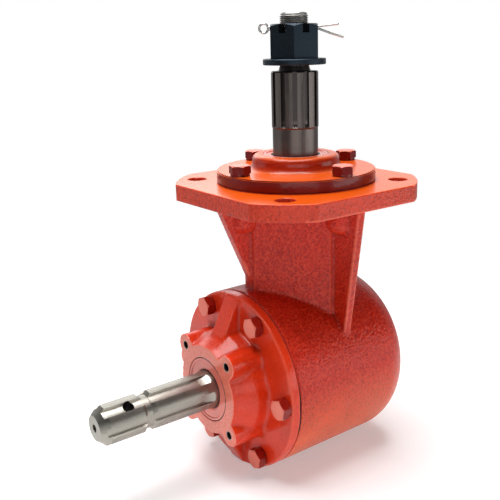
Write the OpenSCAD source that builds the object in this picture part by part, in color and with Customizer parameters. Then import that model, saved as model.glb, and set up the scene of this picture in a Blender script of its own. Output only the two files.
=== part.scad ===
// Right-angle gearbox of a rotary cutter, standing with its output shaft upward.
// The origin is the centre of the mounting face on the output-shaft axis, and the
// input shaft points to -Y. Lengths are in millimetres.

/* [Mounting flange] */
// Width across the flats of the mounting flange
flange_w = 190.5; // [184:0.5:196]
// Diameter to which the flange's corners are rounded
flange_corner_d = 221; // [214:0.5:230]
// Thickness of the mounting flange
flange_t = 15.2; // [13:0.1:18]
// Spacing of the four mounting holes along X and along Y
mount_spacing = 131.76; // [128:0.01:134]
// Diameter of the mounting holes
mount_hole_d = 17.46; // [13:0.01:19]

/* [Neck] */
// Width of the square neck across its diagonal flats
neck_w = 90; // [86:0.5:96]
// Width of the neck across its cut-off corners
neck_corner_w = 112; // [104:0.5:116]
// Thickness of the four ribs
rib_t = 8; // [6:0.5:11]
// Reach of the ribs under the flange
rib_reach = 87.5; // [84:0.5:92]
// Reach of the front and rear ribs where they meet the barrel
rib_foot_y = 53; // [50:0.5:58]
// Reach of the side ribs where they meet the barrel
rib_foot_x = 69.9; // [66:0.1:72]

// Diameter of the bosses under the flange for the output cap's bolts
bolt_boss_d = 27; // [24:0.5:30]
// Depth of those bosses under the mounting face
bolt_boss_h = 38.5; // [36:0.5:42]

/* [Barrel] */
// Height of the mounting face above the input-shaft axis
axis_drop = 178.5; // [174:0.5:186]
// Outside diameter of the barrel
barrel_d = 167.4; // [164:0.1:172]
// Distance from the output axis to the machined front face of the barrel
barrel_front = 66; // [64:0.5:70]
// Radius of the rounded rear edge of the barrel
rear_round = 37; // [30:0.5:42]
// Thickness of the barrel wall
wall_t = 11.7; // [10:0.1:13]

/* [Output cap] */
// Diameter of the output cap's plate
out_cap_d = 145.6; // [142:0.1:150]
// Height of the plate's top above the mounting face
out_cap_t = 11.2; // [9:0.1:13]
// Diameter of the raised boss
out_boss_d = 80; // [76:0.5:86]
// Height of the boss above the mounting face
out_boss_h = 24.5; // [22.5:0.1:27]
// Distance from the rim of the output cap to its bolts
out_bolt_edge = 9.8; // [9:0.1:11]
// Length of the output cap's bolts under their washers
out_bolt_len = 32; // [24:1:33]
// Outside diameter of the output seal
out_seal_d = 60; // [56:0.5:62]

/* [Input cap] */
// Distance from the output axis to the front face of the input cap
in_cap_front = 108; // [106:0.5:112]
// Thickness of the input cap's flange
in_flange_t = 9.2; // [8:0.1:10]
// Diameter of the hub at its front face
in_hub_d = 83; // [80:0.5:86]
// Depth of the hub's sloping front, from its face to its shoulder
in_slope_h = 18; // [15:0.5:21]
// Distance from the rim of the input cap to its bolts
in_bolt_edge = 10.2; // [9.5:0.1:11]
// Length of the input cap's bolts under their washers
in_bolt_len = 26; // [20:1:26]
// Gap between the heads of those bolts and the side of the hub
in_hub_gap = 12.7; // [10:0.1:15]
// Width of the two ribs on the input cap
in_rib_w = 19; // [14:0.5:22]
// Outside diameter of the input seal
in_seal_d = 59.5; // [56:0.5:62]
// Width of both seals
seal_w = 9.7; // [8:0.1:10]
// Spacing of the four tapped holes in the cap's front face
shield_spacing = 65.6; // [64:0.1:67]
// Drilled diameter of the tapped holes in the cap's front face
shield_hole_d = 7; // [5.5:0.1:8.5]

/* [Fasteners] */
// Thread diameter of the cap bolts
bolt_d = 10; // [8:0.5:10.5]
// Width across the flats of the cap bolts
bolt_af = 17; // [15:0.5:18]
// Height of the cap bolts' heads
bolt_head_h = 7; // [5:0.1:8]
// Thickness of the lock washers
lock_washer_t = 2.3; // [1.8:0.1:3]

/* [Output shaft] */
// Diameter of the plain part of the output shaft
out_shaft_d = 41.2; // [40.4:0.1:42]
// Diameter over the splines of the output shaft
out_spline_d = 42.3; // [42:0.1:44]
// Height down to which the spline grooves keep their full depth
out_spline_z0 = 53; // [44:0.5:62]
// Height of the splined end
out_spline_z1 = 97.3; // [90:0.1:100]
// Number of splines
out_splines = 12; // [8:1:16]
// Width of the grooves between the splines
out_groove_w = 4.3; // [3:0.1:5]
// Depth of the grooves between the splines
out_groove_h = 1.7; // [1.2:0.1:2.2]
// Thread diameter of the shaft end
out_thread_d = 25.4; // [22:0.1:27]
// Height of the shaft end above the mounting face
out_end_z = 146.8; // [145:0.1:152]
// Outside diameter of the flat washer
flat_washer_d = 56; // [50:0.5:60]
// Thickness of the flat washer
flat_washer_t = 5.2; // [4:0.1:6]
// Width across the flats of the slotted nut
nut_af = 41.3; // [38:0.1:44]
// Height of the slotted nut
nut_h = 29.4; // [28.5:0.1:31]
// Width of the nut's slots
nut_slot_w = 6.7; // [5:0.1:8]
// Depth of the nut's slots
nut_slot_h = 7.7; // [6.5:0.1:9]

/* [Input shaft] */
// Diameter of the splined input shaft
in_shaft_d = 34.9; // [34.5:0.1:35]
// Number of input splines
in_splines = 6; // [6:1:6]
// Width of the input splines
in_spline_w = 8.7; // [7:0.1:9]
// Diameter at the bottom of the input splines
in_root_d = 29.8; // [28:0.1:31]
// Distance from the output axis to the end of the input shaft
in_end = 217.5; // [214:0.5:222]
// Length of the splines, measured from the shaft end
in_spline_len = 97; // [85:0.5:98]
// Distance from the shaft end to the middle of the locking groove
groove_from_end = 44.5; // [40:0.5:48]
// Distance from the shaft end to the cross hole
pin_from_end = 28; // [24:0.5:32]
// Diameter of the cross hole
pin_hole_d = 9.5; // [6:0.1:10]

/* [Gears] */
// Module of the bevel gears at their large end
gear_module = 5; // [4.6:0.1:5.2]
// Number of teeth on the crown gear
crown_teeth = 22; // [20:1:23]
// Number of teeth on the pinion
pinion_teeth = 15; // [14:1:15]
// Width of the gear faces
face_w = 20; // [16:0.5:21]
// Circumferential play between the teeth at the large end
backlash = 0.5; // [0.3:0.05:0.8]

/* [Bearings and fits] */
// Bore of the output shaft's tapered roller bearings
out_brg_bore = 40; // [39.4:0.2:40.2]
// Outside diameter of the output shaft's bearings
out_brg_d = 68; // [67:0.5:70]
// Bore of the input shaft's tapered roller bearings
in_brg_bore = 35; // [35:0.1:35.4]
// Outside diameter of the input shaft's bearings
in_brg_d = 72; // [70:0.5:73]
// Width of all four bearings
brg_w = 19; // [18.6:0.1:19.6]
// Radial clearance of bolts, rings and other seated parts
seat_gap = 0.05; // [0.02:0.01:0.1]
// Clearance between a roller and its races
race_gap = 0.15; // [0.1:0.01:0.3]
// Radial clearance of the seals on their shafts
seal_gap = 0.06; // [0.02:0.01:0.1]

/* [Hidden] */
$fn = 96;
iron_red = [0.80, 0.13, 0.05];
paint_red = [0.85, 0.20, 0.08];
steel = [0.66, 0.65, 0.62];
dark_steel = [0.24, 0.21, 0.20];
black_oxide = [0.11, 0.13, 0.16];
zinc = [0.72, 0.72, 0.70];
gear_steel = [0.45, 0.44, 0.42];
brass = [0.72, 0.60, 0.32];
rubber = [0.10, 0.10, 0.10];
gasket_grey = [0.25, 0.22, 0.18];

// Pitch cones of the gear pair, whose common apex is where the two shafts cross
crown_r = gear_module * crown_teeth / 2;
pinion_r = gear_module * pinion_teeth / 2;
cone_len = sqrt(crown_r * crown_r + pinion_r * pinion_r);
toe_scale = 1 - face_w / cone_len;
crown_angle = atan2(crown_r, pinion_r);
pinion_angle = 90 - crown_angle;
dedendum = 1.25 * gear_module;
pinion_root_y = crown_r + dedendum * sin(pinion_angle);
crown_root_y = pinion_r + dedendum * sin(crown_angle);
pinion_back = pinion_root_y + 3.5;
pinion_front = toe_scale * crown_r - 2;
crown_back = crown_root_y + 7.3;
crown_front = toe_scale * pinion_r - 0.25;
pinion_hub_r = toe_scale * pinion_r - 6.2;

// Tapered bearings: bore, outside diameter, rollers, roller radius
ROLLER_TILT = 13;
ROLLER_LEN = 12;
out_brg = [out_brg_bore, out_brg_d, 18, 3.3];
in_brg = [in_brg_bore, in_brg_d, 16, 3.9];
brg_half = brg_w / 2;
upper_z = -5.5 - brg_half;
lower_z = -axis_drop + pinion_back + brg_half;
front_z = in_cap_front - 13 - brg_half;
rear_z = -crown_back - brg_half;
cup_thin = brg_half - 3.5;
cone_thin = brg_half - 1.2;

// Stations along the input axis, counted toward the shaft end
rear_cup_back = crown_back + brg_w;
ring_t = 2.5;
plug_seat = rear_cup_back + ring_t + 2.5;
barrel_rear = plug_seat + 5.3;
barrel_r = barrel_d / 2;
barrel_top = barrel_r - axis_drop;
side_foot_z = sqrt(barrel_r * barrel_r - rib_foot_x * rib_foot_x) - axis_drop;
cavity_r = barrel_r - wall_t;
front_bore_r = cavity_r - 8;
gasket_t = 0.6;
shim_t = 0.5;
in_flange_z0 = barrel_front + gasket_t;
in_flange_z1 = in_flange_z0 + in_flange_t;
out_bolt_r = out_cap_d / 2 - out_bolt_edge;
in_bolt_r = barrel_r - in_bolt_edge;
bolt_head_r = bolt_af / sqrt(3);
hub_side_r = in_bolt_r - bolt_head_r - in_hub_gap;
shoulder_z = in_cap_front - in_slope_h;
ear_r = 10.5;
ear_reach = shield_spacing / sqrt(2);
out_bore_r = out_brg_d / 2;
rear_bore_r = in_brg_d / 2;
mid_shaft_r = 21.5;
input_turn = 30;
clip_z1 = rear_z - cone_thin;
clip_z0 = clip_z1 - 1.6;

// Splines that carry the gears: count, outside radius, root radius, width
pinion_fit = [10, 17, 15, 5];
crown_fit = [8, 19.4, in_brg_bore / 2 - seat_gap, 6];
pinion_thread_r = 13.5;
plug_r = 11;
fill_plug_h = 10.5;

// Stations of the nut stack on the output shaft
flat_washer_z = out_spline_z1 + 5.5;
nut_z = flat_washer_z + flat_washer_t;
nut_top = nut_z + nut_h;
cotter_z = nut_top - nut_slot_h + 4.3;
cotter_wire = 1;
cotter_leg = 0.9 * cotter_wire;
cotter_hole_r = cotter_leg + cotter_wire + 0.1;
nut_turn = -39.5;
cotter_turn = nut_turn + 90;

// Frame of the input shaft: local Z runs toward the shaft end and local Y is up
module at_input(z = 0) {
    translate([0, 0, -axis_drop]) rotate([90, 0, 0]) translate([0, 0, z]) children();
}

// Frame of the rear of the barrel: local Z runs away from the shaft end
module at_rear() {
    translate([0, 0, -axis_drop]) rotate([-90, 0, 0]) children();
}

module at_output_bolts() {
    for (a = [0, 90, 180, 270]) rotate([0, 0, a]) translate([out_bolt_r, 0, 0]) children();
}

module at_input_bolts() {
    for (a = [0 : 60 : 300]) at_input() rotate([0, 0, a]) translate([in_bolt_r, 0, 0]) children();
}

module ring(r0, r1, z0, z1) {
    translate([0, 0, z0]) difference() {
        cylinder(r = r1, h = z1 - z0);
        translate([0, 0, -1]) cylinder(r = r0, h = z1 - z0 + 2);
    }
}

// Outline of a shaft or bore with straight-sided splines
module spline_outline(count, r_major, r_minor, w) {
    intersection() {
        circle(r = r_major);
        union() {
            circle(r = r_minor);
            for (i = [0 : count - 1]) rotate([0, 0, i * 360 / count])
                translate([0, -w / 2]) square([r_major + 5, w]);
        }
    }
}

// The same outline for one of the gears, with a clearance all round
module gear_spline(fit, gap = 0) {
    spline_outline(fit[0], fit[1] + gap, fit[2] + gap, fit[3] + 2 * gap);
}

// Hexagon prism whose corners are turned off at one or both ends
module hex_prism(af, h, chamfer_low, chamfer_high) {
    r = af / sqrt(3);
    intersection() {
        cylinder(r = r, h = h, $fn = 6);
        rotate_extrude() polygon([[0, 0], [r - chamfer_low * 1.7, 0], [r + 0.2, chamfer_low + 0.1],
            [r + 0.2, h - chamfer_high - 0.1], [r - chamfer_high * 1.7, h], [0, h]]);
    }
}

// Ridges of a thread as a zigzag outline between two heights
module thread_rod(r, z0, z1, pitch) {
    count = floor((z1 - z0 - 2) / pitch);
    depth = 0.55 * pitch;
    rotate_extrude() polygon(concat(
        [[0, z0], [r - depth, z0]],
        [for (i = [0 : count - 1], p = [[r - depth, 0.1], [r, 0.45], [r, 0.55], [r - depth, 0.9]])
            [p[0], z0 + (i + p[1]) * pitch]],
        [[r - depth, z0 + count * pitch], [r - depth, z1 - 1], [r - depth - 1, z1], [0, z1]]));
}

module housing() {
    color(iron_red) difference() {
        union() {
            housing_shell();
            // Seat of the lower bearing and of the rear bearing
            translate([0, 0, lower_z - cup_thin - 1]) cylinder(r = out_bore_r + 7.5, h = 22);
            at_rear() translate([0, 0, crown_back + 3.5]) cylinder(r = rear_bore_r + 9, h = 18);
        }
        housing_bores();
        housing_holes();
    }
}

module housing_shell() {
    difference() {
        union() {
            mounting_flange();
            neck();
            ribs(rib_foot_x, side_foot_z);
            rotate([0, 0, 90]) ribs(rib_foot_y, barrel_top);
            at_output_bolts() bolt_boss();
            barrel();
            at_input() rotate([0, 0, 180]) rotate([0, 90, 0]) cylinder(r = 16, h = barrel_r + 3);
        }
        barrel_cavity();
    }
}

module mounting_flange() {
    translate([0, 0, -flange_t]) linear_extrude(flange_t) intersection() {
        square(flange_w, center = true);
        circle(d = flange_corner_d);
    }
}

// Boss under the flange that one of the output cap's bolts screws into
module bolt_boss() {
    r = bolt_boss_d / 2;
    rotate_extrude() polygon([
        [0, -bolt_boss_h], [r - 5, -bolt_boss_h], [r - 1.5, 3.5 - bolt_boss_h], [r, 7 - bolt_boss_h],
        [r, 1 - flange_t], [0, 1 - flange_t]]);
}

module neck() {
    translate([0, 0, -axis_drop]) linear_extrude(axis_drop - 1) intersection() {
        rotate([0, 0, 45]) square(neck_w, center = true);
        square(neck_corner_w, center = true);
    }
}

// A pair of ribs that slope in from the flange to the barrel and end inside it
module ribs(foot, foot_z) {
    slope = (rib_reach - foot) / (-flange_t - foot_z);
    sunk_z = foot_z - 20;
    sunk = foot - 20 * slope;
    rotate([90, 0, 0]) translate([0, 0, -rib_t / 2]) linear_extrude(rib_t) polygon([
        [-rib_reach, 1 - flange_t], [-rib_reach, -flange_t], [-sunk, sunk_z],
        [sunk, sunk_z], [rib_reach, -flange_t], [rib_reach, 1 - flange_t]]);
}

module barrel() {
    round_z = barrel_rear - rear_round;
    round_r = barrel_r - rear_round;
    at_rear() rotate_extrude() union() {
        translate([0, -barrel_front]) square([barrel_r, barrel_front + round_z]);
        translate([0, round_z - 1]) square([round_r, rear_round + 1]);
        intersection() {
            translate([round_r, round_z]) circle(r = rear_round);
            translate([0, round_z - 1]) square([barrel_r, rear_round + 1]);
        }
    }
}

module barrel_cavity() {
    front = barrel_front;
    at_rear() rotate_extrude() polygon([
        [0, -front - 1], [front_bore_r, -front - 1], [front_bore_r, 20 - front], [cavity_r, 28 - front],
        [cavity_r, barrel_rear - 37], [cavity_r - 5, barrel_rear - 24],
        [cavity_r - 17, barrel_rear - 13], [0, barrel_rear - 13]]);
}

module housing_bores() {
    // Seats of the output shaft's bearings, with a relief between them
    translate([0, 0, upper_z - brg_half]) cylinder(r = out_bore_r + seat_gap, h = 60);
    translate([0, 0, lower_z - 40]) cylinder(r = out_bore_r + seat_gap, h = 40 + brg_half);
    translate([0, 0, lower_z]) cylinder(r = out_bore_r - 4, h = upper_z - lower_z);
    // Seat of the rear bearing, groove of its ring and seat of the end plug
    at_rear() {
        translate([0, 0, crown_back]) cylinder(r = rear_bore_r + seat_gap, h = 60);
        translate([0, 0, rear_cup_back]) cylinder(r = rear_bore_r + 2, h = ring_t);
        translate([0, 0, plug_seat]) cylinder(r = rear_bore_r + 2.5, h = 20);
    }
}

module housing_holes() {
    for (x = [-1, 1], y = [-1, 1]) translate([x * mount_spacing / 2, y * mount_spacing / 2, -flange_t - 1])
        cylinder(d = mount_hole_d, h = flange_t + 2);
    at_output_bolts() translate([0, 0, out_cap_t - out_bolt_len - 2]) cylinder(d = bolt_d, h = 60);
    at_input_bolts() translate([0, 0, in_flange_z1 - in_bolt_len - 1.5]) cylinder(d = bolt_d, h = 30);
    // Level plug at the side and filler plug in the crown of the barrel
    at_input() {
        rotate([0, -90, 0]) cylinder(r = plug_r, h = barrel_r + 10);
        rotate([90, 0, 0]) cylinder(r = plug_r - 2, h = barrel_r + 1);
        rotate([90, 0, 0]) translate([0, 0, barrel_r - fill_plug_h]) cylinder(r = plug_r, h = 20);
    }
}

module output_cap() {
    boss_r = out_boss_d / 2;
    foot_round = 7;
    top_round = 5;
    color(paint_red) difference() {
        union() {
            rotate_extrude() difference() {
                union() {
                    translate([0, shim_t]) square([out_cap_d / 2 - 1, out_cap_t - shim_t]);
                    translate([0, shim_t + 1]) square([out_cap_d / 2, out_cap_t - shim_t - 2]);
                    translate([0, shim_t]) square([boss_r + foot_round, out_cap_t + foot_round - shim_t]);
                    translate([0, 1]) square([boss_r, out_boss_h - 1 - top_round]);
                    translate([0, 1]) square([boss_r - top_round, out_boss_h - 1]);
                    translate([boss_r - top_round, out_boss_h - top_round]) circle(r = top_round);
                }
                translate([boss_r + foot_round, out_cap_t + foot_round]) circle(r = foot_round);
            }
            ring(out_bore_r - 3, out_bore_r, -8, shim_t + 1);
        }
        translate([0, 0, -9]) cylinder(r = out_bore_r - 3, h = 9 - shim_t);
        translate([0, 0, -9]) cylinder(r = out_shaft_d / 2 + 4, h = 60);
        translate([0, 0, out_boss_h - seal_w]) cylinder(d = out_seal_d + 2 * seat_gap, h = 20);
        at_output_bolts() cylinder(d = bolt_d, h = 30);
    }
}

module output_cap_gasket() {
    color(gasket_grey) difference() {
        ring(out_bore_r + 0.3, out_cap_d / 2, 0, shim_t);
        at_output_bolts() translate([0, 0, -1]) cylinder(d = bolt_d + 1, h = 3);
    }
}

// Cap bolt whose head rests on its lock washer at height 0
module cap_bolt(length) {
    translate([0, 0, lock_washer_t]) hex_prism(bolt_af, bolt_head_h, 0.1, 1);
    translate([0, 0, -length]) cylinder(d = bolt_d - 2 * seat_gap, h = length + lock_washer_t + 1);
}

module lock_washer() {
    difference() {
        ring(bolt_d / 2 + 0.2, bolt_d / 2 + 3.6, 0, lock_washer_t);
        rotate([20, 0, 0]) translate([bolt_d / 2 - 2, -0.6, -3]) cube([8, 1.2, 9]);
    }
}

module output_cap_bolts() {
    color(paint_red) at_output_bolts() translate([0, 0, out_cap_t]) rotate([0, 0, 12])
        cap_bolt(out_bolt_len);
}

module output_cap_lock_washers() {
    color(paint_red) at_output_bolts() translate([0, 0, out_cap_t]) rotate([0, 0, 70]) lock_washer();
}

// Lip seal with a metal case, standing on height 0
module seal(shaft_r, outer_r, h) {
    rotate_extrude() polygon([
        [shaft_r + 1.6, 0], [outer_r, 0], [outer_r, h - 0.6], [outer_r - 0.6, h], [outer_r - 2.6, h],
        [outer_r - 3, h - 0.7], [shaft_r + 2.4, h - 0.7], [shaft_r + seal_gap, h - 2],
        [shaft_r + seal_gap, h - 3.2], [shaft_r + 1.6, h - 4.6]]);
}

module output_seal() {
    color(rubber) translate([0, 0, out_boss_h - seal_w]) seal(out_shaft_d / 2, out_seal_d / 2, seal_w);
}

module output_shaft() {
    r = out_shaft_d / 2;
    spline_r = out_spline_d / 2;
    groove_floor = spline_r - out_groove_h;
    cutter_r = 6;
    seat_r = out_brg_bore / 2 - seat_gap;
    z_cone = lower_z - brg_half;
    color(dark_steel) difference() {
        union() {
            rotate_extrude() polygon([
                [0, -axis_drop + pinion_front + 1], [pinion_fit[2], -axis_drop + pinion_front + 1],
                [pinion_fit[2], z_cone], [seat_r - 0.5, z_cone], [seat_r, z_cone + 0.5],
                [seat_r, upper_z + brg_half], [24, upper_z + brg_half], [24, -1.5], [r, -1.5],
                [r, out_spline_z0 - 5.5], [spline_r, out_spline_z0 - 4], [spline_r, out_spline_z1 - 0.8],
                [spline_r - 0.8, out_spline_z1], [14.6, out_spline_z1], [13, out_spline_z1 + 4.5],
                [out_thread_d / 2 - 0.6, out_spline_z1 + 5], [0, out_spline_z1 + 5]]);
            translate([0, 0, -axis_drop + pinion_front + 1])
                linear_extrude(pinion_back - pinion_front - 1) gear_spline(pinion_fit);
            thread_rod(out_thread_d / 2, out_spline_z1 + 4, out_end_z, 1.81);
            translate([0, 0, -axis_drop + pinion_front - 12]) cylinder(r = pinion_thread_r, h = 14);
        }
        for (i = [0 : out_splines - 1]) rotate([0, 0, nut_turn + i * 360 / out_splines]) {
            translate([groove_floor, -out_groove_w / 2, out_spline_z0]) cube([10, out_groove_w, 60]);
            translate([groove_floor + cutter_r, -out_groove_w / 2, out_spline_z0]) rotate([-90, 0, 0])
                cylinder(r = cutter_r, h = out_groove_w);
        }
        translate([0, 0, cotter_z]) rotate([0, 0, cotter_turn]) rotate([0, 90, 0])
            cylinder(r = cotter_hole_r, h = 60, center = true);
        translate([0, 0, out_end_z - 6]) cylinder(r = 2, h = 10);
        translate([0, 0, out_end_z - 3]) cylinder(r1 = 2, r2 = 4.2, h = 3.1);
    }
}

module flat_washer() {
    r = flat_washer_d / 2;
    color(black_oxide) translate([0, 0, flat_washer_z]) rotate_extrude() polygon([
        [out_thread_d / 2 + 0.4, 0], [r - 0.6, 0], [r, 0.6], [r, flat_washer_t - 0.6],
        [r - 0.6, flat_washer_t], [out_thread_d / 2 + 0.4, flat_washer_t]]);
}

module slotted_nut() {
    color(black_oxide) translate([0, 0, nut_z]) rotate([0, 0, nut_turn]) difference() {
        hex_prism(nut_af, nut_h, 0.6, 2.2);
        translate([0, 0, -1]) cylinder(d = out_thread_d + 2 * seat_gap, h = nut_h + 2);
        translate([0, 0, nut_h - 1]) cylinder(r1 = out_thread_d / 2, r2 = out_thread_d / 2 + 1.4, h = 1.1);
        for (a = [30, 90, 150]) rotate([0, 0, a])
            translate([-30, -nut_slot_w / 2, nut_h - nut_slot_h]) cube([60, nut_slot_w, 20]);
    }
}

// One straight length of round wire between two points in the plane y = 0
module wire(p, q, r) {
    slope = atan2(q[1] - p[1], q[0] - p[0]);
    translate([p[0], 0, p[1]]) rotate([0, 90 - slope, 0]) cylinder(r = r, h = norm(q - p));
}

module bent_wire(points, r) {
    for (i = [0 : len(points) - 2]) wire(points[i], points[i + 1], r);
    for (i = [1 : len(points) - 1]) translate([points[i][0], 0, points[i][1]]) sphere(r = 1.06 * r);
}

module cotter_pin() {
    w = cotter_wire;
    flat_x = nut_af / 2;
    eye_r = 3.9;
    eye_x = flat_x + 1 + w + eye_r;
    color(zinc) translate([0, 0, cotter_z - 0.1]) rotate([0, 0, cotter_turn]) {
        translate([-eye_x, 0, 0]) rotate([90, 0, 0]) rotate_extrude() translate([eye_r, 0]) circle(r = w);
        bent_wire([[-eye_x + eye_r * cos(15), eye_r * sin(15)], [-flat_x + 1.5, cotter_leg],
            [flat_x + 0.5, cotter_leg], [flat_x + 17.5, cotter_leg + 1.6]], w);
        bent_wire([[-eye_x + eye_r * cos(15), -eye_r * sin(15)], [-flat_x + 1.5, -cotter_leg],
            [flat_x + 0.5, -cotter_leg], [flat_x + 11, -cotter_leg - 4],
            [flat_x + 22, -cotter_leg - 7.5]], w);
    }
}

// Parts of a tapered roller bearing: rollers are centred at height 0 and widen upward
function pitch_r(b) = (b[0] + b[1]) / 4 + 0.1;
function apex_h(b) = pitch_r(b) / tan(ROLLER_TILT);
function roller_taper(b) = atan(b[3] * sin(ROLLER_TILT) / pitch_r(b));
function cup_race(b, z) = (z + apex_h(b)) * tan(ROLLER_TILT + roller_taper(b)) + race_gap;
function cone_race(b, z) = (z + apex_h(b)) * tan(ROLLER_TILT - roller_taper(b)) - race_gap;
function cage_r(b, z) = (z + apex_h(b)) * tan(ROLLER_TILT);

module bearing_cup(b) {
    outer = b[1] / 2;
    color(steel) rotate_extrude() polygon([
        [cup_race(b, -brg_half), -brg_half], [outer - 0.8, -brg_half], [outer, 0.8 - brg_half],
        [outer, cup_thin], [cup_race(b, cup_thin), cup_thin]]);
}

module bearing_cone(b) {
    inner = b[0] / 2;
    rib_r = cage_r(b, 6.9) - 1.2;
    color(steel) rotate_extrude() polygon([
        [inner, -cone_thin], [cone_race(b, -6.3) + 0.9, -cone_thin], [cone_race(b, -6.3) + 0.9, -6.3],
        [cone_race(b, -6.3), -6.3], [cone_race(b, 7), 7], [rib_r, 7], [rib_r, brg_half - 0.5],
        [rib_r - 0.5, brg_half], [inner + 0.8, brg_half], [inner, brg_half - 0.8]]);
}

module at_rollers(b) {
    for (i = [0 : b[2] - 1]) rotate([0, 0, i * 360 / b[2]]) translate([pitch_r(b), 0, 0])
        rotate([0, ROLLER_TILT, 0]) translate([0, 0, -ROLLER_LEN / 2]) children();
}

module bearing_rollers(b) {
    flare = ROLLER_LEN / 2 * tan(roller_taper(b));
    color(zinc) at_rollers(b) cylinder(r1 = b[3] - flare, r2 = b[3] + flare, h = ROLLER_LEN, $fn = 32);
}

module bearing_cage(b) {
    pocket = 2 * b[3] + 0.95;
    shell = 0.6;
    color(brass) difference() {
        rotate_extrude() polygon([
            [cage_r(b, -8) - shell, -8], [cage_r(b, -8) + shell, -8],
            [cage_r(b, 8.1) + shell, 8.1], [cage_r(b, 8.1) - shell, 8.1]]);
        at_rollers(b) translate([-5, -pocket / 2, 0]) cube([10, pocket, ROLLER_LEN]);
    }
}

module at_upper() {
    translate([0, 0, upper_z]) children();
}

module at_lower() {
    translate([0, 0, lower_z]) rotate([180, 0, 0]) children();
}

module at_front() {
    at_input(front_z) rotate([180, 0, 0]) children();
}

module at_back() {
    at_input(rear_z) children();
}

module upper_bearing_cup() at_upper() bearing_cup(out_brg);
module upper_bearing_cone() at_upper() bearing_cone(out_brg);
module upper_bearing_rollers() at_upper() bearing_rollers(out_brg);
module upper_bearing_cage() at_upper() bearing_cage(out_brg);
module lower_bearing_cup() at_lower() bearing_cup(out_brg);
module lower_bearing_cone() at_lower() bearing_cone(out_brg);
module lower_bearing_rollers() at_lower() bearing_rollers(out_brg);
module lower_bearing_cage() at_lower() bearing_cage(out_brg);
module front_bearing_cup() at_front() bearing_cup(in_brg);
module front_bearing_cone() at_front() bearing_cone(in_brg);
module front_bearing_rollers() at_front() bearing_rollers(in_brg);
module front_bearing_cage() at_front() bearing_cage(in_brg);
module rear_bearing_cup() at_back() bearing_cup(in_brg);
module rear_bearing_cone() at_back() bearing_cone(in_brg);
module rear_bearing_rollers() at_back() bearing_rollers(in_brg);
module rear_bearing_cage() at_back() bearing_cage(in_brg);

module bearing_spacer() {
    color(steel) ring(out_brg_bore / 2, out_brg_bore / 2 + 3.5, lower_z + cone_thin, upper_z - cone_thin);
}

// Straight bevel gear: each flank is the involute of the back cone, scaled toward the apex
function involute(a) = tan(a) * 180 / PI - a;
function back_radius(teeth, angle) = gear_module * teeth / 2 / cos(angle);
function half_tooth(teeth, angle, rho) =
    let (rv = back_radius(teeth, angle), rb = rv * cos(20), play = (PI * gear_module - backlash) / 2)
    (play / 2 / rv * 180 / PI + involute(20) - involute(acos(min(1, rb / rho)))) / cos(angle);
function flank(teeth, angle) =
    let (rv = back_radius(teeth, angle), rb = rv * cos(20), ra = rv + gear_module, rf = rv - dedendum)
    concat([rf], [for (i = [0 : 4]) max(rb, rf + 0.1) + (ra - max(rb, rf + 0.1)) * i / 4]);
function gear_point(teeth, angle, rho, turn, size) =
    let (r = gear_module * teeth / 2, zb = r / tan(angle) + r * tan(angle))
    size * [rho * cos(angle) * cos(turn), rho * cos(angle) * sin(turn), zb - rho * sin(angle)];
function gear_ring(teeth, angle, size) = [
    for (t = [0 : teeth - 1], side = [-1, 1], k = [0 : 5])
        let (f = flank(teeth, angle), rho = f[side < 0 ? k : 5 - k])
        gear_point(teeth, angle, rho, t * 360 / teeth + side * half_tooth(teeth, angle, rho), size)];

// Toothed ring from heel to toe, open in the middle where the hub fills it
module bevel_teeth(teeth, angle, bore_r) {
    n = teeth * 12;
    heel = back_radius(teeth, angle) - dedendum;
    back_z = gear_point(teeth, angle, heel, 0, 1)[2] + 1;
    front_z = gear_point(teeth, angle, heel, 0, toe_scale)[2] - 1;
    function inner(i, z) = let (a = (i - 5.5) * 360 / n) [bore_r * cos(a), bore_r * sin(a), z];
    rings = concat(gear_ring(teeth, angle, 1), gear_ring(teeth, angle, toe_scale),
        [for (i = [0 : n - 1]) inner(i, front_z)], [for (i = [0 : n - 1]) inner(i, back_z)]);
    polyhedron(points = rings, faces = [
        for (band = [0 : 3], i = [0 : n - 1], half = [0, 1])
            let (p = band * n, q = (band + 1) % 4 * n, k = (i + 1) % n)
            half == 0 ? [p + i, p + k, q + k] : [p + i, q + k, q + i]]);
}

module pinion() {
    color(gear_steel) translate([0, 0, -axis_drop]) difference() {
        union() {
            rotate([0, 0, 90 + 180 / pinion_teeth]) bevel_teeth(pinion_teeth, pinion_angle, 17.5);
            translate([0, 0, pinion_front]) cylinder(r = pinion_hub_r, h = 10);
            translate([0, 0, pinion_front + 9]) cylinder(r = 25.5, h = pinion_back - pinion_front - 9);
        }
        translate([0, 0, pinion_front - 1]) linear_extrude(40) gear_spline(pinion_fit, seat_gap);
    }
}

module pinion_tab_washer() {
    color(steel) translate([0, 0, -axis_drop]) difference() {
        ring(pinion_thread_r + seat_gap, pinion_hub_r - 0.5, pinion_front - 1.6, pinion_front);
        for (a = [0 : 45 : 315]) rotate([0, 0, a])
            translate([pinion_hub_r - 2.5, -1.5, pinion_front - 3]) cube([5, 3, 6]);
    }
}

module pinion_nut() {
    z0 = pinion_front - 10.6;
    color(black_oxide) translate([0, 0, -axis_drop]) difference() {
        ring(pinion_thread_r + seat_gap, pinion_hub_r - 1, z0, pinion_front - 1.6);
        for (a = [0 : 90 : 270]) rotate([0, 0, a])
            translate([pinion_hub_r - 3, -2.5, z0 - 1]) cube([6, 5, 12]);
    }
}

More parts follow.
